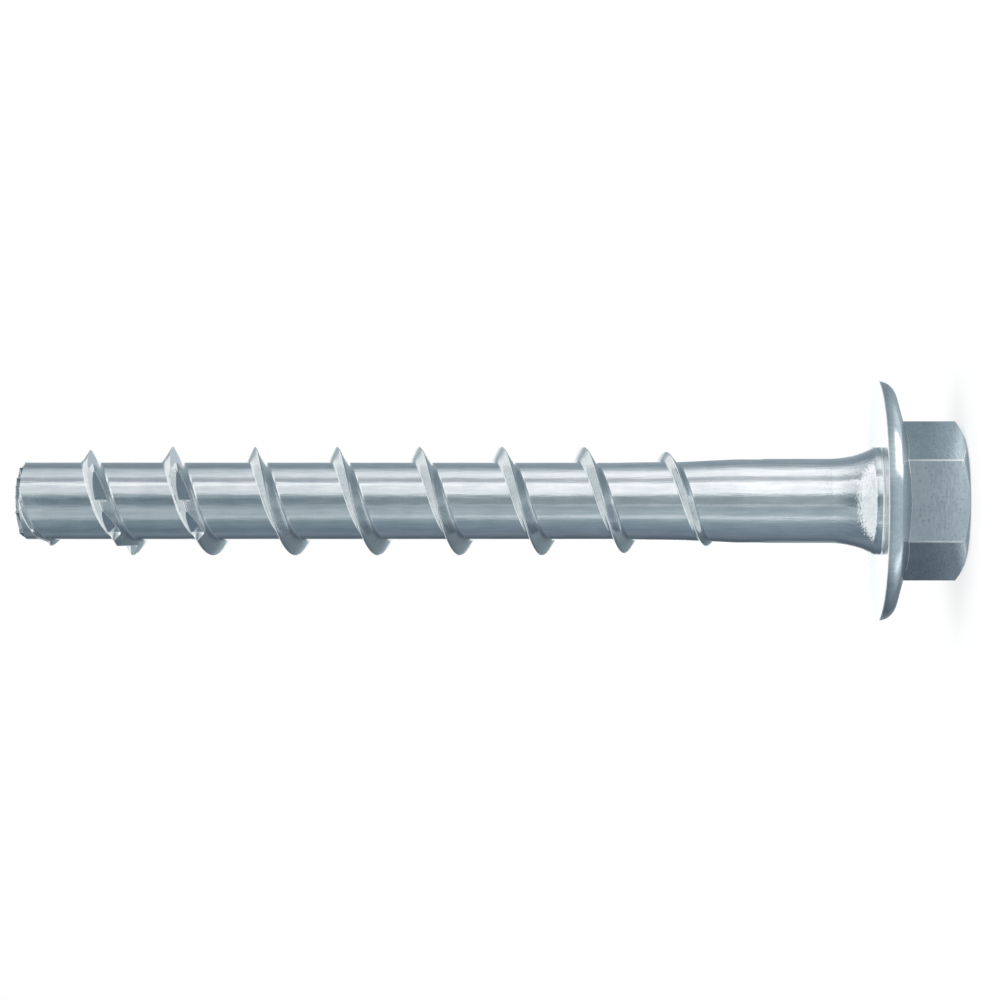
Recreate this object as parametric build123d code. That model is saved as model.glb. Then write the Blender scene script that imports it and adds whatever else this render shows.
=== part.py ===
from build123d import *
import os
from math import ceil, radians, cos, sin, sqrt, tan

# A hexagon flange concrete screw, cold forged and rolled in one piece.
# Sizes are in millimetres. It stands on the flat top of its head, so Z runs
# from that face, at zero, up the shank to the tip.

# Lengths along the axis
length_under_head = 80.0
head_height = 8.0

# Hexagon
wrench_size = 13.0
top_circle_diameter = 12.3
top_chamfer_angle = 28.0

# Flange, dished so that only a ring at its rim bears
flange_diameter = 22.4
flange_cone_angle = 16.0
flange_rim_radius = 1.5
rim_land_height = 0.05
bearing_ring_width = 0.5
dish_depth = 0.25

# Neck and shank, with distances measured from the bearing ring towards the tip
neck_diameter = 10.1
neck_length = 0.4
neck_flare_radius = 8.3
shank_diameter = 7.9
shank_end_distance = 13.3
shoulder_diameter = 7.44
shoulder_distance = 18.2
core_diameter = 7.25
core_distance = 25.0
tip_chamfer = 0.4

# Thread, right hand. Its crest crosses the +X side crest_phase_distance below the tip
pitch = 7.7
thread_diameter = 10.2
crest_width = 0.12
thread_base_width = 1.7
root_width = 2.0
root_flare_height = 0.25
crest_phase_distance = 6.25
stations_per_turn = 14

# Thread start, which climbs from the tip to the full height
start_length = 8.3
start_diameter = 7.65
start_width_share = 0.35

# Thread run-out, which sinks into the shank, at distances from the bearing ring
run_out_distance = 29.7
run_out_end_distance = 13.0
run_out_diameter = 7.74
run_out_width_share = 0.75
run_out_power = 1.75

# Saw-tooth notches in the leading turns, counted from the tip
notches_per_turn = 8
notch_count = 18
first_notch_angle = 271.0
notch_ramp_angle = 30.0
notch_depth_share = 0.63

# Places worked out from the driving sizes
tip_height = head_height + length_under_head
flat_radius = wrench_size / 2
flange_radius = flange_diameter / 2
neck_radius = neck_diameter / 2
shank_radius = shank_diameter / 2
core_radius = core_diameter / 2
crest_radius = thread_diameter / 2
thread_height = crest_radius - core_radius
cone_rise = (flange_radius - flat_radius) * tan(radians(flange_cone_angle))
rim_rounding_height = flange_rim_radius * tan(radians(90 - flange_cone_angle) / 2)
hexagon_height = head_height - rim_land_height - rim_rounding_height - cone_rise
crest_phase_height = tip_height - crest_phase_distance
start_height = tip_height - start_length
run_out_height = head_height + run_out_distance
run_out_end_height = head_height + run_out_end_distance


def turned(outline):
    """Turn a closed outline of radius and height about the axis of the screw."""
    return revolve(Plane.XZ * make_face(outline), Axis.Z, 360)


def make_hexagon():
    """The wrench hexagon, sunk into the flange and chamfered round its flat top."""
    sunk_height = (hexagon_height + head_height - dish_depth) / 2
    corner_radius = wrench_size / sqrt(3)
    top_radius = top_circle_diameter / 2
    chamfer_height = (corner_radius - top_radius) * tan(radians(top_chamfer_angle))
    prism = extrude(RegularPolygon(corner_radius, 6), sunk_height)
    blank = turned(
        Polyline(
            (0, 0),
            (top_radius, 0),
            (corner_radius, chamfer_height),
            (corner_radius, sunk_height),
            (0, sunk_height),
            close=True,
        )
    )
    return prism & blank


def make_flange_and_shank():
    """The turned form: dished flange, flared neck, plain shank, rolled core and tip."""
    land_height = head_height - rim_land_height
    rim_inset = rim_rounding_height * cos(radians(flange_cone_angle))
    rim_rise = rim_rounding_height * sin(radians(flange_cone_angle))
    cone_end = (flange_radius - rim_inset, hexagon_height + cone_rise - rim_rise)
    cone = Polyline((0, hexagon_height), (flat_radius, hexagon_height), cone_end)
    rim = RadiusArc(cone_end, (flange_radius, land_height), -flange_rim_radius)
    flare_height = head_height + neck_length
    flare_depth = neck_radius - shank_radius
    flare_end = flare_height + sqrt(2 * neck_flare_radius * flare_depth - flare_depth**2)
    underside = Polyline(
        (flange_radius, land_height),
        (flange_radius, head_height),
        (flange_radius - bearing_ring_width, head_height),
        (neck_radius, head_height - dish_depth),
        (neck_radius, flare_height),
    )
    flare = RadiusArc((neck_radius, flare_height), (shank_radius, flare_end), neck_flare_radius)
    shank = Polyline(
        (shank_radius, flare_end),
        (shank_radius, head_height + shank_end_distance),
        (shoulder_diameter / 2, head_height + shoulder_distance),
        (core_radius, head_height + core_distance),
        (core_radius, tip_height - tip_chamfer),
        (core_radius - tip_chamfer, tip_height),
        (0, tip_height),
        (0, hexagon_height),
    )
    return turned(cone + rim + underside + flare + shank)


def on_helix(radius, height, offset):
    """The point at a radius, beside the thread's centre line where that is at a height."""
    turn = radians((height - crest_phase_height) * 360 / pitch)
    return Vector(radius * cos(turn), radius * sin(turn), height + offset)


def thread_section(height_share, width_share):
    """A V with a flared root, as (radius, half width) from below the root to the crest."""
    flank_slope = (thread_base_width - crest_width) / 2 / thread_height
    flare_half_width = thread_base_width / 2 - flank_slope * root_flare_height
    flare_slope = (root_width / 2 - flare_half_width) / root_flare_height
    buried_depth = tip_chamfer + root_flare_height
    buried_half_width = root_width / 2 + flare_slope * buried_depth
    return [
        (core_radius - buried_depth, buried_half_width * width_share),
        (core_radius + root_flare_height * height_share, flare_half_width * width_share),
        (core_radius + thread_height * height_share, crest_width / 2 * width_share),
    ]


def full_section(height):
    """The profile where the thread has its full size."""
    return thread_section(1, 1)


def start_height_share(height):
    """How high the thread is at a place in its start."""
    tip_share = (start_diameter - core_diameter) / 2 / thread_height
    return 1 - (1 - tip_share) * (height - start_height) / start_length


def start_section(height):
    """The profile in the start, which grows from the tip."""
    width_share = 1 - (1 - start_width_share) * (height - start_height) / start_length
    return thread_section(start_height_share(height), width_share)


def run_out_section(height):
    """The profile in the run-out, which sinks until the shank covers it."""
    end_share = (run_out_diameter - core_diameter) / 2 / thread_height
    done = (run_out_height - height) / (run_out_height - run_out_end_height)
    height_share = 1 - (1 - end_share) * done**run_out_power
    width_share = 1 - (1 - run_out_width_share) * done
    return thread_section(height_share, width_share)


def make_ridge(low, high, section_at):
    """A closed length of thread, ruled between rails that follow its profile's corners."""
    count = ceil((high - low) / pitch * stations_per_turn)
    heights = [low + (high - low) * i / count for i in range(count + 1)]
    sections = [section_at(height) for height in heights]

    def rail(corner, side):
        points = [
            on_helix(section[corner][0], height, side * section[corner][1])
            for height, section in zip(heights, sections)
        ]
        return Edge.make_spline(points, parameters=heights)

    corners = range(len(sections[0]))
    rails = [rail(corner, -1) for corner in corners]
    rails += [rail(corner, 1) for corner in reversed(corners)]
    strips = [
        Face.make_surface_from_curves(first, second)
        for first, second in zip(rails, rails[1:] + rails[:1])
    ]
    caps = [Face(Wire.make_polygon([edge @ end for edge in rails])) for end in (0, 1)]
    return Solid(Shell(strips + caps))


def make_stretch(low, high, section_at):
    """A stretch of thread in lengths of one turn or less, joined end to end."""
    turns = ceil((high - low) / pitch)
    ends = [low + (high - low) * i / turns for i in range(turns + 1)]
    return [make_ridge(first, last, section_at) for first, last in zip(ends, ends[1:])]


def make_thread():
    """Run-out, full turns and the start, which is cut off level with the tip."""
    start = make_stretch(start_height, tip_height + root_width / 2, start_section)
    below_tip = extrude(Circle(thread_diameter), tip_height)
    full = make_stretch(run_out_height, start_height, full_section)
    run_out = make_stretch(run_out_end_height, run_out_height, run_out_section)
    return run_out + full + [ridge & below_tip for ridge in start]


def crest_height_above_core(height):
    """The thread's height at a place in its leading turns."""
    if height < start_height:
        return thread_height
    return thread_height * start_height_share(height)


def make_notch(angle):
    """A wedge with a flat ramp, which leaves a step that faces the way the screw drives."""
    height = crest_phase_height + pitch * angle / 360
    rise = pitch * notch_ramp_angle / 360
    step_radius = core_radius + crest_height_above_core(height) * (1 - notch_depth_share)
    ramp_radius = core_radius + crest_height_above_core(height + rise)
    ramp_end = Vector(ramp_radius, 0).rotate(Axis.Z, notch_ramp_angle)
    outline = Polyline(
        (step_radius, 0),
        (ramp_end.X, ramp_end.Y),
        (thread_diameter, thread_diameter * tan(radians(notch_ramp_angle))),
        (thread_diameter, 0),
        close=True,
    )
    margin = thread_base_width / 2
    wedge = extrude(make_face(outline), rise + 2 * margin)
    return Pos(Z=height - margin) * Rot(Z=angle) * wedge


def make_screw():
    """The whole screw as one solid."""
    body = make_flange_and_shank().fuse(make_hexagon(), *make_thread())
    step = 360 / notches_per_turn
    notches = [make_notch(first_notch_angle - step * i) for i in range(notch_count)]
    return body.cut(*notches)


screw = make_screw()

os.makedirs("parts", exist_ok=True)
export_step(screw, "parts/concrete_screw.step")
print("concrete_screw", screw.volume, "mm3,", len(screw.faces()), "faces")
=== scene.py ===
import math

import bmesh
import bpy
from mathutils import Matrix, Vector


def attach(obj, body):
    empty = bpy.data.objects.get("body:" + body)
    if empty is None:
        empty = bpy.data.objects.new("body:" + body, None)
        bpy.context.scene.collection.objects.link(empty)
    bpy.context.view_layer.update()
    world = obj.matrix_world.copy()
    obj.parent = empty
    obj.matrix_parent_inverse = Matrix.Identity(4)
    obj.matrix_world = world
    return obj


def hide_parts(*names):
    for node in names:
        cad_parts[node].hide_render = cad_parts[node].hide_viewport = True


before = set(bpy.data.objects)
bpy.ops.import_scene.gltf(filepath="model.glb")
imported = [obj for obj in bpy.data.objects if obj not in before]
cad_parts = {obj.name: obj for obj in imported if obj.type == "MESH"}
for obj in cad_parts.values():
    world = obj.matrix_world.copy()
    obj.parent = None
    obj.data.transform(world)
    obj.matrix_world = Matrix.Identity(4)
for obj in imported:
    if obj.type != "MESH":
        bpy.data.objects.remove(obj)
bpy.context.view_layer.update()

# A hexagon flange concrete screw of zinc plated steel, stood on its head.
# The screw is modelled in millimetres and made metres at the end, the studio in metres.

perMetre = 1000             # millimetres in a metre
weldDistance = 1e-4         # mm, points nearer to each other than this become one
cutDistance = 1e-5          # mm, points nearer to a cut than this lie on it


def hexToLinear(code):
    # sRGB hex to the linear colour that the shaders want
    parts = [int(code[i:i + 2], 16) / 255 for i in (1, 3, 5)]
    linear = [p / 12.92 if p <= 0.04045 else ((p + 0.055) / 1.055) ** 2.4 for p in parts]
    return (*linear, 1.0)


def addNode(tree, kind, inputs=None, **settings):
    # adds a node, sets its properties, and sets or links its inputs
    node = tree.nodes.new(kind)
    for name, value in settings.items():
        setattr(node, name, value)
    for key, value in (inputs or {}).items():
        if isinstance(value, bpy.types.NodeSocket):
            tree.links.new(value, node.inputs[key])
        else:
            node.inputs[key].default_value = value
    return node


def softMax(a, b, reach):
    # the larger of two, with the corner between them filled in over a reach
    gap = max(reach - abs(a - b), 0.0)
    return max(a, b) + (gap * gap / (4 * reach) if reach > 0 else 0.0)


def meshFromBmesh(name, bm):
    mesh = bpy.data.meshes.new(name)
    bm.to_mesh(mesh)
    bm.free()
    piece = bpy.data.objects.new(name, mesh)
    bpy.context.scene.collection.objects.link(piece)
    return piece


def printMesh(name, bm):
    print(name, len(bm.faces), "faces,", sum(not e.is_manifold for e in bm.edges), "open edges")


def chainOfPoints(bm, points, angle):
    # an open line of (radius, height) points in the half plane at an angle
    verts = [bm.verts.new((r * math.cos(angle), r * math.sin(angle), z)) for r, z in points]
    edges = [bm.edges.new(pair) for pair in zip(verts, verts[1:])]
    return verts + edges


def turnOutline(bm, outline, angle, steps, weld):
    # turns a line of (radius, height) points once round the axis
    start = chainOfPoints(bm, outline, angle)
    bmesh.ops.spin(
        bm, geom=start, cent=(0, 0, 0), axis=(0, 0, 1), dvec=(0, 0, 0),
        angle=math.tau, steps=steps, use_merge=True, use_duplicate=False,
    )
    bmesh.ops.remove_doubles(bm, verts=bm.verts, dist=weld)


def cornerArc(centre, radius, fromAngle, toAngle, steps):
    # (radius, height) points on an arc in the half plane, angles in degrees from outwards
    turns = [math.radians(fromAngle + (toAngle - fromAngle) * i / steps) for i in range(steps + 1)]
    return [(centre[0] + radius * math.cos(t), centre[1] + radius * math.sin(t)) for t in turns]


def booleanOf(piece, tool, operation):
    # applies a boolean and throws the tool away
    modifier = piece.modifiers.new("shape", "BOOLEAN")
    modifier.operation = operation
    modifier.solver = "EXACT"
    modifier.object = tool
    graph = bpy.context.evaluated_depsgraph_get()
    mesh = bpy.data.meshes.new_from_object(piece.evaluated_get(graph))
    piece.modifiers.remove(modifier)
    old = piece.data
    piece.data = mesh
    bpy.data.meshes.remove(old)
    bpy.data.objects.remove(tool)
    return piece


# Lengths are in mm. A level is how square a face is to the axis: 0 on the shank, 1 on a flat end.
finish = {
    "colour": "#E2E5E7",
    "darkerColour": "#D3D8DB",      # where the plating is a little thinner
    "pressedColour": "#CDD3D8",     # the notches' ramps
    "cutColour": "#71828A",         # the sheared end
    "wornAndHighlightColour": "#F2F4F5",      # edges worn bright, and painted highlight along edges and in corners
    "roughness": (0.06, 0.14),
    "pressedRoughness": (0.1, 0.17),
    "dullRange": (0.7, 1.3),        # grain and clouds added up, from the smoothest to the dullest
    "flankRoughness": 0.1,          # added on the thread's flanks and the flange's cone
    "flankLevels": (0.6, 0.85),
    "streakWidth": 0.26,            # the marks that rolling leaves along the shank
    "streakLength": 2.8,
    "streakDepth": 0.01,
    "streakLevels": (0.5, 0.8),     # where they fade
    "flankStreaks": 0.12,           # what is left of them on the flanks
    "headHeight": 5.2,              # below this the heading die's marks run across instead
    "forgedLength": 0.7,
    "wearRange": (0.14, 0.36),      # streaks times clouds, from the darker colour to the full one
    "grainDepth": 0.003,
    "pitRange": (0.66, 0.78),       # faint dark pits in the zinc on the head
    "pitShare": 0.45,
    "pitColour": "#8E989E",
    "dentDepth": 0.02,              # the dappled marks of forging round the neck
    "dentHeights": (8.1, 8.7, 9.0, 13.5),       # from none to full and back to none
    "cornerShadeColour": "#8B969C",      # painted shade on the flange round the hexagon's foot
    "cornerShadeHeights": (5.3, 5.35, 5.85, 6.65),
    "cornerShadeLevels": (0.7, 0.9),
    "edgeRadius": 0.14,             # how far from an edge the wear and painted highlight reach
    "edgeTurn": (0.985, 0.92),      # true normal against rounded one, from no edge to a full one
    "edgeMetallic": 0.4,
    "rubSize": 0.6,                 # patches along the hexagon's edges
    "rubRange": (0.35, 0.65),
    "rubMetallic": (0.7, 0.3),
    "rubRoughness": 0.3,
    "sharpAngle": 38.0,             # degrees, an edge that turns more stays crisp
}

# size in mm, detail and roughness of each noise; the zinc's crystals are drawn coarser than real to show
patterns = {
    "grain": (0.22, 2.0, 0.55),
    "clouds": (2.6, 3.0, 0.6),      # where the plating is thicker or thinner
    "dents": (0.26, 1.0, 0.5),
    "pits": (0.24, 0.0, 0.5),
}


def steelMaterial(name):
    material = bpy.data.materials.new(name)
    material.use_nodes = True
    tree = material.node_tree
    return material, tree, tree.nodes["Principled BSDF"]


def heightBand(tree, height, heights):
    # 1 between the two middle heights, 0 beyond the outer two
    first, full, last, end = (z / perMetre for z in heights)
    rise = addNode(tree, "ShaderNodeMapRange", {
        "Value": height, "From Min": first, "From Max": full,
    }).outputs[0]
    fall = addNode(tree, "ShaderNodeMapRange", {
        "Value": height, "From Min": end, "From Max": last,
    }).outputs[0]
    return addNode(tree, "ShaderNodeMath", {0: rise, 1: fall}, operation="MULTIPLY").outputs[0]


def wornAndHighlitEdges(tree):
    # 0 on open surfaces, 1 along edges and in corners, where edges are worn bright and highlight is painted
    soft = addNode(tree, "ShaderNodeBevel", {"Radius": finish["edgeRadius"] / perMetre}, samples=4)
    normal = addNode(tree, "ShaderNodeNewGeometry").outputs["Normal"]
    same = addNode(tree, "ShaderNodeVectorMath", {0: soft.outputs[0], 1: normal}, operation="DOT_PRODUCT")
    return addNode(tree, "ShaderNodeMapRange", {
        "Value": same.outputs["Value"],
        "From Min": finish["edgeTurn"][0], "From Max": finish["edgeTurn"][1],
    }).outputs[0]


def wornAndHighlitSteel(name):
    # zinc that sockets have rubbed on the hexagon's edges, and painted highlight there and on the foot's
    # concave fillet: it scatters light, so it shows as thin pale lines with duller patches
    f = finish
    material, tree, shader = steelMaterial(name)
    place = addNode(tree, "ShaderNodeTexCoord").outputs["Object"]
    rub = addNode(tree, "ShaderNodeTexNoise", {
        "Vector": place, "Scale": perMetre / f["rubSize"], "Detail": 2.0, "Roughness": 0.6,
    }).outputs["Fac"]
    tone = addNode(tree, "ShaderNodeMix", {
        "Factor": rub, "A": hexToLinear(f["darkerColour"]), "B": hexToLinear(f["wornAndHighlightColour"]),
    }, data_type="RGBA").outputs["Result"]
    tree.links.new(tone, shader.inputs["Base Color"])
    scatter = addNode(tree, "ShaderNodeMapRange", {
        "Value": rub, "From Min": f["rubRange"][0], "From Max": f["rubRange"][1],
        "To Min": f["rubMetallic"][0], "To Max": f["rubMetallic"][1],
    }).outputs[0]
    tree.links.new(scatter, shader.inputs["Metallic"])
    shader.inputs["Roughness"].default_value = f["rubRoughness"]
    return material


def platedSteel(name, colour, darker, roughness):
    # cold forged and rolled steel under bright zinc: a cool grey mirror, blurred along the rolling,
    # so a light drags out into long bands with slightly ragged edges
    f = finish
    material, tree, shader = steelMaterial(name)
    place = addNode(tree, "ShaderNodeTexCoord").outputs["Object"]
    height = addNode(tree, "ShaderNodeSeparateXYZ", {"Vector": place}).outputs["Z"]
    onHead = addNode(tree, "ShaderNodeMath", {
        0: height, 1: f["headHeight"] / perMetre,
    }, operation="LESS_THAN").outputs[0]
    normal = addNode(tree, "ShaderNodeNewGeometry").outputs["Normal"]
    level = addNode(tree, "ShaderNodeSeparateXYZ", {"Vector": normal}).outputs["Z"]
    level = addNode(tree, "ShaderNodeMath", {0: level}, operation="ABSOLUTE").outputs[0]

    noises = {}
    for kind, (size, detail, rough) in patterns.items():
        noises[kind] = addNode(tree, "ShaderNodeTexNoise", {
            "Vector": place, "Scale": perMetre / size, "Detail": detail, "Roughness": rough,
        }).outputs["Fac"]
    across, along = perMetre / f["streakWidth"], perMetre / f["streakLength"]
    aroundHead = perMetre / f["forgedLength"]
    rolled = addNode(tree, "ShaderNodeMapping", {
        "Vector": place, "Scale": (across, across, along),
    }).outputs[0]
    forged = addNode(tree, "ShaderNodeMapping", {
        "Vector": place, "Scale": (aroundHead, aroundHead, across),
    }).outputs[0]
    marks = addNode(tree, "ShaderNodeMix", {
        "Factor": onHead, "A": rolled, "B": forged,
    }, data_type="VECTOR").outputs["Result"]
    streaks = addNode(tree, "ShaderNodeTexNoise", {
        "Vector": marks, "Scale": 1.0, "Detail": 1.5, "Roughness": 0.5,
    }).outputs["Fac"]

    # colour: thinner zinc, pits, painted shade in the corner round the foot, worn edges and painted
    # highlight
    wear = addNode(tree, "ShaderNodeMath", {
        0: streaks, 1: noises["clouds"],
    }, operation="MULTIPLY").outputs[0]
    wear = addNode(tree, "ShaderNodeMapRange", {
        "Value": wear, "From Min": f["wearRange"][0], "From Max": f["wearRange"][1],
    }).outputs[0]
    pits = addNode(tree, "ShaderNodeMapRange", {
        "Value": noises["pits"], "From Min": f["pitRange"][0], "From Max": f["pitRange"][1],
        "To Min": 0.0, "To Max": f["pitShare"],
    }).outputs[0]
    pits = addNode(tree, "ShaderNodeMath", {0: pits, 1: onHead}, operation="MULTIPLY").outputs[0]
    # painted shade: darker on the flange's cone in the corner next to the hexagon's foot
    corner = heightBand(tree, height, f["cornerShadeHeights"])
    onCone = addNode(tree, "ShaderNodeMapRange", {
        "Value": level, "From Min": f["cornerShadeLevels"][0], "From Max": f["cornerShadeLevels"][1],
    }).outputs[0]
    corner = addNode(tree, "ShaderNodeMath", {0: corner, 1: onCone}, operation="MULTIPLY").outputs[0]
    # painted highlight, partly wear: pale lines along every edge and in corners
    edges = wornAndHighlitEdges(tree)
    tone = hexToLinear(darker)
    for mask, code in (
        (wear, colour), (pits, f["pitColour"]), (corner, f["cornerShadeColour"]), (edges, f["wornAndHighlightColour"]),
    ):
        tone = addNode(tree, "ShaderNodeMix", {
            "Factor": mask, "A": tone, "B": hexToLinear(code),
        }, data_type="RGBA").outputs["Result"]
    tree.links.new(tone, shader.inputs["Base Color"])

    # a worn edge scatters light all ways, so it shows as a thin pale line;
    # along crests, roots, notches and in corners the pale line is painted highlight
    scatter = addNode(tree, "ShaderNodeMapRange", {
        "Value": edges, "To Min": 1.0, "To Max": f["edgeMetallic"],
    }).outputs[0]
    tree.links.new(scatter, shader.inputs["Metallic"])

    dull = addNode(tree, "ShaderNodeMath", {
        0: noises["grain"], 1: noises["clouds"],
    }, operation="ADD").outputs[0]
    dull = addNode(tree, "ShaderNodeMapRange", {
        "Value": dull, "From Min": f["dullRange"][0], "From Max": f["dullRange"][1],
        "To Min": roughness[0], "To Max": roughness[1],
    }).outputs[0]
    matter = addNode(tree, "ShaderNodeMapRange", {
        "Value": level, "From Min": f["flankLevels"][0], "From Max": f["flankLevels"][1],
        "To Min": 0.0, "To Max": f["flankRoughness"],
    }).outputs[0]
    dull = addNode(tree, "ShaderNodeMath", {0: dull, 1: matter}, operation="ADD").outputs[0]
    tree.links.new(dull, shader.inputs["Roughness"])

    # relief: streaks, grain, and dents round the neck
    rolling = addNode(tree, "ShaderNodeMapRange", {
        "Value": level, "From Min": f["streakLevels"][0], "From Max": f["streakLevels"][1],
        "To Min": 1.0, "To Max": f["flankStreaks"],
    }).outputs[0]
    relief = addNode(tree, "ShaderNodeBump", {
        "Height": streaks, "Strength": rolling, "Distance": f["streakDepth"] / perMetre,
    }).outputs[0]
    relief = addNode(tree, "ShaderNodeBump", {
        "Height": noises["grain"], "Strength": 1.0, "Distance": f["grainDepth"] / perMetre,
        "Normal": relief,
    }).outputs[0]
    relief = addNode(tree, "ShaderNodeBump", {
        "Height": noises["dents"], "Strength": heightBand(tree, height, f["dentHeights"]),
        "Distance": f["dentDepth"] / perMetre, "Normal": relief,
    }).outputs[0]
    tree.links.new(relief, shader.inputs["Normal"])
    return material


plating = [
    platedSteel("zincPlatedSteel", finish["colour"], finish["darkerColour"], finish["roughness"]),
    # pressed flat by the roll, which leaves the notches' ramps even and a little duller
    platedSteel("pressedZinc", finish["pressedColour"], finish["pressedColour"], finish["pressedRoughness"]),
    # pale edges: worn bright, and painted highlight
    wornAndHighlitSteel("wornAndHighlitZinc"),
    # sheared off before plating, and the zinc on the end is thin and looks dark
    platedSteel("shearedZinc", finish["cutColour"], finish["cutColour"], finish["pressedRoughness"]),
]
pressedFace, wornAndHighlitFace, shearedFace = 1, 2, 3      # places in that list


def platedPiece(name, bm):
    # every piece has all the materials, so that faces keep theirs through the booleans
    piece = meshFromBmesh(name, bm)
    for material in plating:
        piece.data.materials.append(material)
    return piece


# mm, with heights from the head's flat top, which the screw stands on
shaft = {
    "tipHeight": 88.0,
    "tipChamfer": 0.4,
    "jointHeight": 20.0,        # where the spun thread hands over to the turned shank
    "shankRadius": 3.95,
    "shankEnd": 21.3,
    "shoulderRadius": 3.72,
    "shoulderHeight": 26.2,
    "coreRadius": 3.625,
    "coreHeight": 33.0,
    "pitch": 7.7,
    "crestRadius": 5.1,
    "crestPhase": 81.75,        # the crest's height on the +X side
    "crestHalfWidth": 0.06,
    "baseHalfWidth": 0.85,
    "filletHalfWidth": 1.13,    # where the root fillet has run out into the core
    "filletReach": 0.42,
    "tipSideShares": (0.7, 1.1),    # width of the half that faces the tip: plain turns, notched turns
    "shareHeights": (66.5, 70.5),   # where one turns into the other
    "crestRounding": 0.12,
    "startHeight": 79.7,
    "startLength": 8.3,
    "startRadius": 3.825,
    "startLeast": 0.01,         # share of the full height that is always left
    "startWidthShare": 0.28,
    "startNarrow": 0.75,        # share of the start's length in which it comes down to that
    "startWidthPower": 1.5,
    "runOutHeight": 37.7,
    "runOutEnd": 21.0,
    "runOutRadius": 3.87,
    "runOutWidthShare": 0.75,
    "runOutPower": 1.75,
    "stationsPerTurn": 144,
    "ringSlack": 1e-3,          # points this near to a level cut are on its ring
    "stationSlack": 0.02,       # of the way to the next station
    "jointWeld": 0.008,
}
stationAngle = 360 / shaft["stationsPerTurn"]

notch = {
    "spacing": 45.0,            # degrees round the thread
    "count": 18,
    "firstAngle": 271.0,
    "angleSlack": 1.0,
    "rampAngle": 34.0,
    "depthShare": 0.63,
    "facetHalfWidth": 0.52,     # row that becomes the facet's edge
    "edgeHalfWidth": 0.585,     # row just outside it, so the edge is broken
    "edgeDrop": 0.035,
    "stepWidth": 1.7,           # degrees that the step's face takes
}

# rows of points across half of the band, from the crest over the flank and the root to the core
threadRows = [
    0.0, 0.06, 0.12, 0.3, 0.52, 0.585, 0.66, 0.74, 0.82, 0.9, 0.98, 1.06, 1.13, 1.5, 2.1, 2.9, 3.85,
]


def bodyRadius(height):
    # the plain shank, and its taper in two steps down to the rolled core
    s = shaft
    profile = [
        (s["shankEnd"], s["shankRadius"]),
        (s["shoulderHeight"], s["shoulderRadius"]),
        (s["coreHeight"], s["coreRadius"]),
    ]
    for (low, wide), (high, narrow) in zip(profile, profile[1:]):
        if height <= high:
            return wide + (narrow - wide) * max((height - low) / (high - low), 0.0)
    return s["coreRadius"]


def crestHeight(turned):
    # where the crest is when the thread has turned by an angle from +X
    return shaft["crestPhase"] + shaft["pitch"] * turned / 360


def threadShares(crest):
    # how much of its full height and width the thread has where its crest is at a height
    s = shaft
    full = s["crestRadius"] - s["coreRadius"]
    if crest > s["startHeight"]:
        done = (crest - s["startHeight"]) / s["startLength"]
        tall = 1 - (1 - (s["startRadius"] - s["coreRadius"]) / full) * done
        narrowed = min(done / s["startNarrow"], 1.0) ** s["startWidthPower"]
        return max(tall, s["startLeast"]), 1 - (1 - s["startWidthShare"]) * narrowed
    if crest < s["runOutHeight"]:
        done = min((s["runOutHeight"] - crest) / (s["runOutHeight"] - s["runOutEnd"]), 1.0)
        end = (s["runOutRadius"] - s["coreRadius"]) / full
        tall = 1 - (1 - end) * done ** s["runOutPower"]
        return tall, 1 - (1 - s["runOutWidthShare"]) * done
    return 1.0, 1.0


def tipSideShare(crest):
    # how wide the thread's half on the tip's side is, as a share of the other half
    low, high = shaft["shareHeights"]
    plain, notched = shaft["tipSideShares"]
    return plain + (notched - plain) * min(max((crest - low) / (high - low), 0.0), 1.0)


def notchLead(turned):
    # degrees since the last place where a notch could start
    return (turned - notch["firstAngle"]) % notch["spacing"]


def startsNotch(turned):
    # whether one of the notches really starts at such a place
    n = notch
    last = n["firstAngle"] - n["spacing"] * (n["count"] - 1)
    return last - n["angleSlack"] < turned < n["firstAngle"] + n["angleSlack"]


def notchRadius(turned):
    # the ramp's distance from the axis at an angle of the thread, or None beside the notches
    s, n = shaft, notch
    lead = notchLead(turned)
    start = turned - lead
    if lead > n["rampAngle"] or not startsNotch(start):
        return None
    full = s["crestRadius"] - s["coreRadius"]
    startTall = threadShares(crestHeight(start))[0] * full
    endTall = threadShares(crestHeight(start + n["rampAngle"]))[0] * full
    stepRadius = s["coreRadius"] + startTall * (1 - n["depthShare"])
    endRadius = s["coreRadius"] + endTall
    ramp, here = math.radians(n["rampAngle"]), math.radians(lead)
    # the straight line from the step's foot to the ramp's end, in polar form
    endX, endY = endRadius * math.cos(ramp), endRadius * math.sin(ramp)
    return stepRadius * endY / (endY * math.cos(here) + (stepRadius - endX) * math.sin(here))


def rowOffset(row, wide, slope, facet):
    # how far along the axis a row lies from the crest, with a notch's facet fitted in between
    s, n = shaft, notch
    inner, outer, half = s["filletHalfWidth"], s["filletHalfWidth"] * wide, s["pitch"] / 2
    if row > inner:
        return outer + (row - inner) * (half - outer) / (half - inner)
    if facet is None:
        return row * wide
    if row <= n["facetHalfWidth"]:
        return row / n["facetHalfWidth"] * facet
    broken = facet + n["edgeDrop"] / slope
    return broken + (row - n["edgeHalfWidth"]) * (outer - broken) / (inner - n["edgeHalfWidth"])


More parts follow.
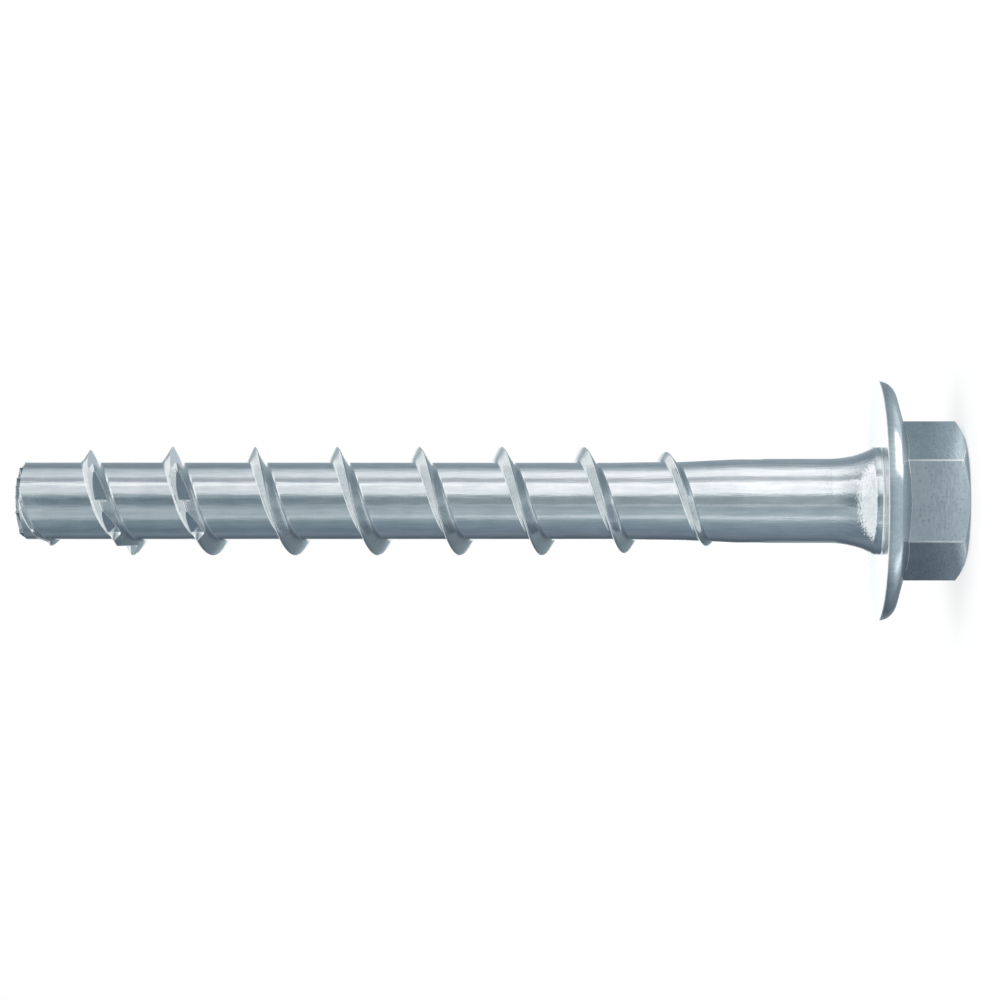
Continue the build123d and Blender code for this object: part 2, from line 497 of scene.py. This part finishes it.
def placeOnThread(turned, row):
    # where a point of the plain spun band goes on the thread, and whether that is on a ramp
    s, n = shaft, notch
    crest = crestHeight(turned)
    tall, wide = threadShares(crest)
    full = (s["crestRadius"] - s["coreRadius"]) * tall
    rounding = s["crestRounding"] * wide
    side = -1 if row < 0 else 1
    if row > 0:
        wide *= tipSideShare(crest)
    row = abs(row)
    slope = full / ((s["baseHalfWidth"] - s["crestHalfWidth"]) * wide)
    cut = notchRadius(turned)
    facet = None
    if cut is not None and cut < s["coreRadius"] + full:
        facet = s["baseHalfWidth"] * wide - (cut - s["coreRadius"]) / slope
    offset = rowOffset(row, wide, slope, facet)
    height = crest + side * offset
    flank = slope * (s["baseHalfWidth"] * wide - offset)
    flank = -softMax(-flank, -full, rounding)
    radius = softMax(bodyRadius(height), s["coreRadius"] + flank, s["filletReach"] * tall)
    if crest < s["runOutEnd"]:
        radius = bodyRadius(height)
    pressed = facet is not None and row <= n["facetHalfWidth"]
    if pressed:
        radius = cut
    # the last station before a notch closes up to it, which makes the step upright
    lead = notchLead(turned)
    slide = 0.0
    atStep = lead > n["spacing"] - stationAngle * 1.5 and startsNotch(turned - lead + n["spacing"])
    if atStep and row <= n["edgeHalfWidth"]:
        slide = stationAngle - n["stepWidth"]
    angle = math.radians(turned + slide)
    height += s["pitch"] * slide / 360
    return Vector((radius * math.cos(angle), radius * math.sin(angle), height)), pressed


def makeShaft(bm):
    # one turn of a band as wide as the pitch is spun, repeated up the shaft and shaped
    s, n = shaft, notch
    rows = [-r for r in reversed(threadRows[1:])] + threadRows
    # whole turns, with some to spare at both ends, which trimShaft takes off
    firstTurn = math.floor((s["jointHeight"] - s["crestPhase"]) / s["pitch"]) - 2
    lastTurn = math.ceil((s["tipHeight"] - s["crestPhase"]) / s["pitch"]) + 1
    low = s["crestPhase"] + s["pitch"] * (n["firstAngle"] / 360 + firstTurn)
    start = chainOfPoints(bm, [(s["coreRadius"], low + r) for r in rows], math.radians(n["firstAngle"]))
    bmesh.ops.spin(
        bm, geom=start, cent=(0, 0, 0), axis=(0, 0, 1), dvec=(0, 0, s["pitch"] * stationAngle / 360),
        angle=math.tau, steps=s["stationsPerTurn"], use_merge=False, use_duplicate=False,
    )
    oneTurn = bm.verts[:] + bm.edges[:] + bm.faces[:]
    for turn in range(1, lastTurn - firstTurn):
        copied = bmesh.ops.duplicate(bm, geom=oneTurn)["geom"]
        verts = [g for g in copied if isinstance(g, bmesh.types.BMVert)]
        bmesh.ops.translate(bm, verts=verts, vec=(0, 0, s["pitch"] * turn))
    ramps = set()
    for vert in bm.verts:
        # which station and row of the band this point is
        around = math.degrees(math.atan2(vert.co.y, vert.co.x))
        climb = (vert.co.z - s["crestPhase"]) * 360 / s["pitch"]
        turned = around + 360 * round((climb - around) / 360)
        turned = n["firstAngle"] + stationAngle * round((turned - n["firstAngle"]) / stationAngle)
        offset = (climb - turned) * s["pitch"] / 360
        vert.co, pressed = placeOnThread(turned, min(rows, key=lambda r: abs(r - offset)))
        if pressed:
            ramps.add(vert)
    for face in bm.faces:
        if all(v in ramps for v in face.verts):
            face.material_index = pressedFace
    bmesh.ops.remove_doubles(bm, verts=bm.verts, dist=weldDistance)


def ringPoints(bm, height):
    return [v for v in bm.verts if v.is_boundary and abs(v.co.z - height) < shaft["ringSlack"]]


def cutLevel(bm, height, **clear):
    bmesh.ops.bisect_plane(
        bm, geom=bm.verts[:] + bm.edges[:] + bm.faces[:], dist=cutDistance,
        plane_co=(0, 0, height), plane_no=(0, 0, 1), **clear,
    )


def trimShaft(bm):
    # cuts the band level at the joint and the tip, and chamfers the tip
    s = shaft
    cutLevel(bm, s["jointHeight"], clear_inner=True)
    cutLevel(bm, s["tipHeight"], clear_outer=True)
    cutLevel(bm, s["tipHeight"] - s["tipChamfer"])
    for vert in ringPoints(bm, s["tipHeight"]):
        radius = math.hypot(vert.co.x, vert.co.y)
        vert.co.xy *= (radius - s["tipChamfer"]) / radius
    # only the points on the stations stay on the joint's ring, so that the turned part meets them
    spare = []
    for vert in ringPoints(bm, s["jointHeight"]):
        around = (math.degrees(math.atan2(vert.co.y, vert.co.x)) - notch["firstAngle"]) / stationAngle
        if abs(around - round(around)) > s["stationSlack"]:
            spare.append(vert)
    bmesh.ops.dissolve_verts(bm, verts=spare)


# mm, with heights from the flat top as before
head = {
    "shankRows": (17.5, 15.0),
    "flareRadius": 8.3,
    "flareSteps": 14,
    "neckRadius": 5.05,
    "neckTop": 8.4,
    "neckFillet": 0.25,
    "filletSteps": 6,
    "bearingHeight": 8.0,
    "dishHeight": 7.75,
    "ringInner": 10.7,
    "rimRadius": 11.2,
    "rimRounding": 1.5,
    "rimSteps": 10,
    "rimLand": 0.05,
    "coneAngle": 16.0,
    "coneRow": 9.0,             # a row of points on the cone, clear of the hexagon's foot
    "coneOverlap": 0.5,         # how far the cone goes on inside the hexagon's flats
    "acrossFlats": 13.0,
    "topRadius": 6.15,
    "topChamferAngle": 28.0,
    "sunkHeight": 6.6,
    "barMargin": 1.0,           # the bar starts this far outside the blank that trims it
    "blankHeight": 8.0,
    "blankMargin": 1.0,
    "blankSteps": 192,
    "edgeRounding": 0.12,
    "flatAngle": 0.5,           # degrees, faces that differ less are one flat
    "footRounding": 0.1,
    "footHeights": (4.5, 6.4),
    "footTilts": (0.1, 0.8),    # levels below and above which a face is a flat of the hexagon or the cone
}


def makeFlange(bm):
    # turned from the shank down over the flare, the dish and the rim to a flat inside the hexagon
    s, h = shaft, head
    flareX = s["shankRadius"] + h["flareRadius"]
    drop = math.sqrt(h["flareRadius"] ** 2 - (flareX - h["neckRadius"]) ** 2)
    flareAngle = math.degrees(math.asin(drop / h["flareRadius"]))
    tilt = math.atan2(h["bearingHeight"] - h["dishHeight"], h["ringInner"] - h["neckRadius"])
    filletCentre = (
        h["neckRadius"] + h["neckFillet"],
        h["dishHeight"] + h["neckFillet"] * (1 / math.cos(tilt) + math.tan(tilt)),
    )
    rimCentre = (h["rimRadius"] - h["rimRounding"], h["bearingHeight"] - h["rimLand"])
    rim = cornerArc(rimCentre, h["rimRounding"], 0, h["coneAngle"] - 90, h["rimSteps"])
    slope = math.tan(math.radians(h["coneAngle"]))
    inside = h["acrossFlats"] / 2 - h["coneOverlap"]
    rowHeight, insideHeight = (rim[-1][1] - (rim[-1][0] - r) * slope for r in (h["coneRow"], inside))
    outline = [(s["shankRadius"], z) for z in (s["jointHeight"], *h["shankRows"])]
    outline += cornerArc(
        (flareX, h["neckTop"] + drop), h["flareRadius"], 180, 180 + flareAngle, h["flareSteps"],
    )
    outline += cornerArc(
        filletCentre, h["neckFillet"], 180, 270 + math.degrees(tilt), h["filletSteps"],
    )
    outline += [(h["ringInner"], h["bearingHeight"]), (h["rimRadius"] - h["rimLand"], h["bearingHeight"])]
    outline += rim + [(h["coneRow"], rowHeight), (inside, insideHeight), (0, insideHeight)]
    turnOutline(bm, outline, math.radians(notch["firstAngle"]), s["stationsPerTurn"], weldDistance)


def makeBody():
    s = shaft
    bm = bmesh.new()
    makeShaft(bm)
    trimShaft(bm)
    makeFlange(bm)
    bmesh.ops.remove_doubles(bm, verts=ringPoints(bm, s["jointHeight"]), dist=s["jointWeld"])
    tipEdges = [e for e in bm.edges if e.is_boundary and e.verts[0].co.z > s["tipHeight"] - s["ringSlack"]]
    bmesh.ops.holes_fill(bm, edges=tipEdges, sides=0)
    # the sheared end and its chamfer
    for face in bm.faces:
        if face.calc_center_median().z > s["tipHeight"] - s["tipChamfer"]:
            face.material_index = shearedFace
    bmesh.ops.recalc_face_normals(bm, faces=bm.faces)
    printMesh("body", bm)
    return platedPiece("body", bm)


def roundEdges(bm, edges, offset):
    # bevels edges of the hexagon, which sockets rub; the rounded faces get pale zinc, worn and painted
    # highlight
    rounded = bmesh.ops.bevel(
        bm, geom=edges, offset=offset, offset_type="OFFSET", affect="EDGES",
        segments=3, profile=0.5, material=-1, clamp_overlap=True,
    )
    for face in rounded["faces"]:
        face.material_index = wornAndHighlitFace


def makeHexagon():
    # a hexagonal bar, cut off by a blunt cone that chamfers its top
    h = head
    corner = h["acrossFlats"] / math.sqrt(3)
    bm = bmesh.new()
    bmesh.ops.create_circle(bm, cap_ends=True, segments=6, radius=corner)
    bmesh.ops.rotate(bm, verts=bm.verts, cent=(0, 0, 0), matrix=Matrix.Rotation(math.radians(90), 3, "Z"))
    bmesh.ops.translate(bm, verts=bm.verts, vec=(0, 0, -h["barMargin"]))
    top = bmesh.ops.extrude_face_region(bm, geom=bm.faces[:])["geom"]
    topVerts = [g for g in top if isinstance(g, bmesh.types.BMVert)]
    bmesh.ops.translate(bm, verts=topVerts, vec=(0, 0, h["sunkHeight"] + h["barMargin"]))
    bmesh.ops.recalc_face_normals(bm, faces=bm.faces)
    upright = [e for e in bm.edges if abs(e.verts[0].co.z - e.verts[1].co.z) > h["barMargin"]]
    roundEdges(bm, upright, h["edgeRounding"])
    bar = platedPiece("bar", bm)
    bm = bmesh.new()
    wide = corner + h["blankMargin"]
    rise = (wide - h["topRadius"]) * math.tan(math.radians(h["topChamferAngle"]))
    outline = [(0, 0), (h["topRadius"], 0), (wide, rise), (wide, h["blankHeight"]), (0, h["blankHeight"])]
    turnOutline(bm, outline, 0, h["blankSteps"], weldDistance)
    bmesh.ops.recalc_face_normals(bm, faces=bm.faces)
    hexagon = booleanOf(bar, platedPiece("blank", bm), "INTERSECT")
    bm = bmesh.new()
    bm.from_mesh(hexagon.data)
    # the boolean's faces on each flat are joined up again
    bmesh.ops.dissolve_limit(bm, angle_limit=math.radians(h["flatAngle"]), verts=bm.verts, edges=bm.edges)
    printMesh("hexagon", bm)
    bm.to_mesh(hexagon.data)
    bm.free()
    return hexagon


def roundFoot(piece):
    # rounds the corner in which the hexagon's flats run into the flange
    h = head
    bm = bmesh.new()
    bm.from_mesh(piece.data)
    low, high = h["footHeights"]
    foot = []
    for e in bm.edges:
        if len(e.link_faces) != 2 or not low < e.verts[0].co.z < high:
            continue
        tilts = sorted(abs(f.normal.z) for f in e.link_faces)
        if tilts[0] < h["footTilts"][0] and tilts[1] > h["footTilts"][1]:
            foot.append(e)
    # the rounded foot takes the pale zinc as painted highlight
    roundEdges(bm, foot, h["footRounding"])
    print("foot", len(foot), "edges")
    printMesh("screw", bm)
    bm.to_mesh(piece.data)
    bm.free()


def outlineRamps(piece):
    # the pressed ramps keep crisp borders in the smooth shading
    bm = bmesh.new()
    bm.from_mesh(piece.data)
    for e in bm.edges:
        if sorted(f.material_index == pressedFace for f in e.link_faces) == [False, True]:
            e.smooth = False
    bm.to_mesh(piece.data)
    bm.free()


def makeScrew():
    screw = booleanOf(makeBody(), makeHexagon(), "UNION")
    roundFoot(screw)
    screw.name = screw.data.name = "plated_screw"
    screw.data.transform(Matrix.Scale(1 / perMetre, 4))
    screw.data.shade_smooth()
    screw.data.set_sharp_from_angle(angle=math.radians(finish["sharpAngle"]))
    outlineRamps(screw)
    even = screw.modifiers.new("evenNormals", "WEIGHTED_NORMAL")
    even.mode = "FACE_AREA_WITH_ANGLE"
    even.keep_sharp = True
    return screw


screw = makeScrew()
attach(screw, "root")
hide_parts("concrete_screw")
used = [face.material_index for face in screw.data.polygons]
print("materials", {m.name: used.count(i) for i, m in enumerate(screw.data.materials)})


# metres; the tent is a round wall with a cloth under it and a ceiling over it
studio = {
    "worldStrength": 0.72,      # on what it only lights
    "tentRadius": 0.34,
    "tentHeight": 0.30,
    "tentSteps": 96,
    "tentWeld": 1e-5,
    "tentStrength": 1.38,
    "clothHeight": 0.0001,
    "clothRows": (0.0, 0.02, 0.05, 0.1, 0.2),
    "cornerDepth": 0.001,       # of the wall's ends, which count as cloth and ceiling
    "wallTop": 0.14,            # the height at which the wall has its upper tones
    "topBand": (0.175, 0.21),   # where the wall turns into the bright band under the ceiling
    "ceilingTone": "#E4E8E8",
    "ceilingStrength": 1.3,
    "middleTone": "#7E898F",    # of the cloth under the head
    "ringStart": (0.0068, 0.0082),  # where the ring next to the foot begins
    "ringEnd": (0.014, 0.019),      # where it turns into the cloth's middle
    "nearRadius": (0.11, 0.15),     # where that turns into the panels' tones
    "footReach": (0.012, 0.032),    # the cloth is brighter within this
    "footStrength": 1.45,
}

# the tent's tones by the angle from the camera's side, in degrees towards the picture's top
wallTones = [
    (-180, "#FFFFFF"), (-164, "#FFFFFF"), (-158, "#4F5860"), (-134, "#545F69"), (-118, "#6B7580"),
    (-90, "#75838E"), (-66, "#82919A"), (-54, "#9DAAB0"), (-49, "#C4CCD0"), (-45, "#C8D0D4"),
    (-41, "#A3AEB3"), (-22, "#909DA3"), (-15, "#97A2A7"), (-12, "#C0C8CB"), (-9, "#97A1A5"),
    (-4, "#949EA2"), (8, "#959FA3"), (14, "#A6B0B3"), (21, "#F6F7F8"), (50, "#FCFCFD"), (56, "#C8CDD0"),
    (62, "#B2B7BA"), (68, "#BEC2C5"), (74, "#F6F7F8"), (90, "#FAFAFB"), (98, "#D2D6DA"),
    (108, "#9EA8AD"), (120, "#88959D"), (134, "#88959D"), (158, "#98A3A9"), (164, "#FFFFFF"),
    (180, "#FFFFFF"),
]
# the same higher up the wall, where the leading turns of the thread mirror it
upperTones = [
    (-180, "#D5DADC"), (-164, "#D5DADC"), (-150, "#47515A"), (-117, "#6F7C86"), (-98, "#606E78"),
    (-77, "#6F7F88"), (-62, "#78868D"), (-49, "#A5B1B5"), (-39, "#9CA7AC"), (-30, "#A4AFB3"),
    (-17, "#909CA2"), (-10, "#6F7E85"), (6, "#67767D"), (18, "#9CA8AC"), (25, "#CCD1D4"),
    (44, "#CCD1D4"), (49, "#EEF0F1"), (53, "#EEF0F1"), (60, "#9CA2A8"), (70, "#9EA4AA"),
    (78, "#CCD2D5"), (90, "#BEC6CA"), (104, "#AEB7BC"), (118, "#7C878F"), (134, "#7C878F"),
    (158, "#8C979D"), (164, "#D5DADC"), (180, "#D5DADC"),
]
# under the ceiling, where the flared neck mirrors it
topTones = [
    (-180, "#87949A"), (-120, "#C0C9CD"), (-90, "#E0E5E7"), (-55, "#EEF0F1"), (-20, "#E4E8E9"),
    (5, "#DCE1E3"), (20, "#F4F5F6"), (95, "#F4F5F6"), (125, "#9CA7AC"), (180, "#87949A"),
]
# on the cloth's middle, which the hexagon mirrors
nearTones = [
    (-180, "#87949A"), (-120, "#4F5961"), (-72, "#69757F"), (-50, "#8A959B"), (-12, "#88939A"),
    (12, "#88939A"), (22, "#A3AEB3"), (42, "#A3AEB3"), (60, "#8A959B"), (120, "#74828A"), (180, "#87949A"),
]
# on the ring next to the foot, which the flange's rim mirrors
ringTones = [
    (-180, "#87949A"), (-130, "#59636B"), (-90, "#59636B"), (-64, "#8A949B"), (-56, "#BCC5C9"),
    (-50, "#BCC5C9"), (-40, "#8A959B"), (0, "#8A959B"), (18, "#919CA2"), (25, "#FFFFFF"), (54, "#FFFFFF"),
    (60, "#9CA7AC"), (80, "#A5AFB4"), (100, "#7A868D"), (150, "#77858D"), (180, "#87949A"),
]
# the cloth further out is as the wall, but plain behind, where the flanks that face the head mirror it
flankTone = "#8D9A9F"
clothTones = [(-180, flankTone), (-158, flankTone)]
clothTones += [(angle, code) for angle, code in wallTones if abs(angle) < 150]
clothTones += [(158, flankTone), (180, flankTone)]


def lightPathTree(owner):
    # an empty node tree, and 1 where the camera sees it, also in a mirror or through glass
    owner.use_nodes = True
    tree = owner.node_tree
    tree.nodes.clear()
    path = addNode(tree, "ShaderNodeLightPath").outputs
    seen = path["Is Camera Ray"]
    for other in ("Is Glossy Ray", "Is Transmission Ray"):
        seen = addNode(tree, "ShaderNodeMath", {0: seen, 1: path[other]}, operation="MAXIMUM").outputs[0]
    return tree, seen


def makeWorld():
    # white where it is seen, softer where it only lights
    world = bpy.data.worlds.new("paleRoom")
    bpy.context.scene.world = world
    tree, seen = lightPathTree(world)
    strength = addNode(tree, "ShaderNodeMapRange", {
        "Value": seen, "To Min": studio["worldStrength"], "To Max": 1.0,
    }).outputs[0]
    back = addNode(tree, "ShaderNodeBackground", {"Color": hexToLinear("#FFFFFF"), "Strength": strength})
    addNode(tree, "ShaderNodeOutputWorld", {"Surface": back.outputs[0]})


table = {
    "size": 4.0,
    "colour": "#AAABAB",
    "glow": 0.68,               # what it needs on top of the light to be seen as white
}


def makeFloor():
    # a matt white table, which keeps the screw's shadow
    bm = bmesh.new()
    bmesh.ops.create_grid(bm, x_segments=4, y_segments=4, size=table["size"])
    floor = meshFromBmesh("floor", bm)
    material = bpy.data.materials.new("matWhiteTable")
    tree, seen = lightPathTree(material)
    own = addNode(tree, "ShaderNodeBsdfDiffuse", {"Color": hexToLinear(table["colour"])})
    glow = addNode(tree, "ShaderNodeMath", {0: seen, 1: table["glow"]}, operation="MULTIPLY").outputs[0]
    lit = addNode(tree, "ShaderNodeEmission", {"Color": hexToLinear("#FFFFFF"), "Strength": glow})
    both = addNode(tree, "ShaderNodeAddShader", {0: own.outputs[0], 1: lit.outputs[0]})
    addNode(tree, "ShaderNodeOutputMaterial", {"Surface": both.outputs[0]})
    floor.data.materials.append(material)


def toneRamp(tree, tones, share):
    # a list of tones by angle, as a ramp over the whole turn
    first, last = tones[0][0], tones[-1][0]
    node = addNode(tree, "ShaderNodeValToRGB", {"Fac": share})
    stops = node.color_ramp.elements
    stops.remove(stops[1])
    for i, (angle, code) in enumerate(tones):
        place = (angle - first) / (last - first)
        stop = stops.new(place) if i else stops[0]
        stop.position = place
        stop.color = hexToLinear(code)
    return node.outputs[0]


def tentCloth():
    # unlit cloth and card panels in greys and white, which the metal mirrors as bands
    t = studio
    material = bpy.data.materials.new("tentCloth")
    material.use_nodes = True
    tree = material.node_tree
    tree.nodes.clear()
    place = addNode(tree, "ShaderNodeTexCoord").outputs["Object"]
    split = addNode(tree, "ShaderNodeSeparateXYZ", {"Vector": place}).outputs
    front = addNode(tree, "ShaderNodeMath", {0: split["Y"], 1: -1.0}, operation="MULTIPLY").outputs[0]
    around = addNode(tree, "ShaderNodeMath", {0: split["X"], 1: front}, operation="ARCTAN2").outputs[0]
    share = addNode(tree, "ShaderNodeMapRange", {
        "Value": around, "From Min": -math.pi, "From Max": math.pi,
    }).outputs[0]

    # the cloth, from its middle outwards
    reach = addNode(tree, "ShaderNodeVectorMath", {0: place}, operation="LENGTH").outputs["Value"]
    cloth = hexToLinear(t["middleTone"])
    for edge, tones in (("ringStart", ringTones), ("ringEnd", nearTones), ("nearRadius", clothTones)):
        past = addNode(tree, "ShaderNodeMapRange", {
            "Value": reach, "From Min": t[edge][0], "From Max": t[edge][1],
        }).outputs[0]
        cloth = addNode(tree, "ShaderNodeMix", {
            "Factor": past, "A": cloth, "B": toneRamp(tree, tones, share),
        }, data_type="RGBA").outputs["Result"]

    # the wall from its foot up, and then what lies outside its ends
    upper = addNode(tree, "ShaderNodeMapRange", {
        "Value": split["Z"], "From Min": t["cornerDepth"], "From Max": t["wallTop"],
    }).outputs[0]
    underCeiling = addNode(tree, "ShaderNodeMapRange", {
        "Value": split["Z"], "From Min": t["topBand"][0], "From Max": t["topBand"][1],
    }).outputs[0]
    onCloth = addNode(tree, "ShaderNodeMath", {
        0: split["Z"], 1: t["cornerDepth"],
    }, operation="LESS_THAN").outputs[0]
    onCeiling = addNode(tree, "ShaderNodeMath", {
        0: split["Z"], 1: t["tentHeight"] - t["cornerDepth"],
    }, operation="GREATER_THAN").outputs[0]
    colour = toneRamp(tree, wallTones, share)
    for mask, over in (
        (upper, toneRamp(tree, upperTones, share)), (underCeiling, toneRamp(tree, topTones, share)),
        (onCloth, cloth), (onCeiling, hexToLinear(t["ceilingTone"])),
    ):
        colour = addNode(tree, "ShaderNodeMix", {
            "Factor": mask, "A": colour, "B": over,
        }, data_type="RGBA").outputs["Result"]

    # the cloth is brighter next to the foot, which lights the hexagon's top
    strength = addNode(tree, "ShaderNodeMapRange", {
        "Value": reach, "From Min": t["footReach"][0], "From Max": t["footReach"][1],
        "To Min": t["tentStrength"] * t["footStrength"], "To Max": t["tentStrength"],
    }).outputs[0]
    strength = addNode(tree, "ShaderNodeMix", {
        "Factor": onCeiling, "A": strength, "B": t["ceilingStrength"],
    }, data_type="FLOAT").outputs["Result"]
    lit = addNode(tree, "ShaderNodeEmission", {"Color": colour, "Strength": strength})
    addNode(tree, "ShaderNodeOutputMaterial", {"Surface": lit.outputs[0]})
    return material


def makeTent():
    t = studio
    bm = bmesh.new()
    outline = [(r, t["clothHeight"]) for r in (*t["clothRows"], t["tentRadius"])]
    outline += [(t["tentRadius"], t["tentHeight"]), (0.0, t["tentHeight"])]
    turnOutline(bm, outline, 0, t["tentSteps"], t["tentWeld"])
    tent = meshFromBmesh("reflectionTent", bm)
    tent.data.materials.append(tentCloth())
    # only the metal's reflections see it
    tent.visible_camera = tent.visible_diffuse = tent.visible_shadow = tent.visible_transmission = False


lamp = {
    "strength": 0.9,
    "softness": 40.0,           # degrees that its light comes from
    "tilt": 48.0,               # degrees from straight down
    "turn": 8.0,
}


def makeLamp():
    # one very soft lamp from behind the camera, so the shadow falls behind the screw
    light = bpy.data.lights.new("softLamp", "SUN")
    light.energy = lamp["strength"]
    light.angle = math.radians(lamp["softness"])
    stand = bpy.data.objects.new("softLamp", light)
    stand.rotation_euler = (math.radians(lamp["tilt"]), 0, math.radians(lamp["turn"]))
    stand.visible_glossy = False
    bpy.context.scene.collection.objects.link(stand)


camera = {
    "distance": 0.2335,
    "height": 0.0309,
    "lens": 89.64,
    "sensor": 36,
    "shift": (-0.133, 0.0009),
    "nearest": 0.01,
}


def makeCamera():
    # looks level at the screw and is rolled a quarter, so that the tip is at the picture's left
    data = bpy.data.cameras.new("camera")
    data.lens = camera["lens"]
    data.sensor_width = camera["sensor"]
    data.shift_x, data.shift_y = camera["shift"]
    data.clip_start = camera["nearest"]
    place = bpy.data.objects.new("camera", data)
    turn = Matrix(((0, 1, 0), (0, 0, -1), (-1, 0, 0)))
    place.matrix_world = Matrix.Translation((0, -camera["distance"], camera["height"])) @ turn.to_4x4()
    bpy.context.scene.collection.objects.link(place)
    bpy.context.scene.camera = place


makeWorld()
makeFloor()
makeTent()
makeLamp()
makeCamera()
bpy.context.scene.view_settings.view_transform = "Standard"
print("studio made")
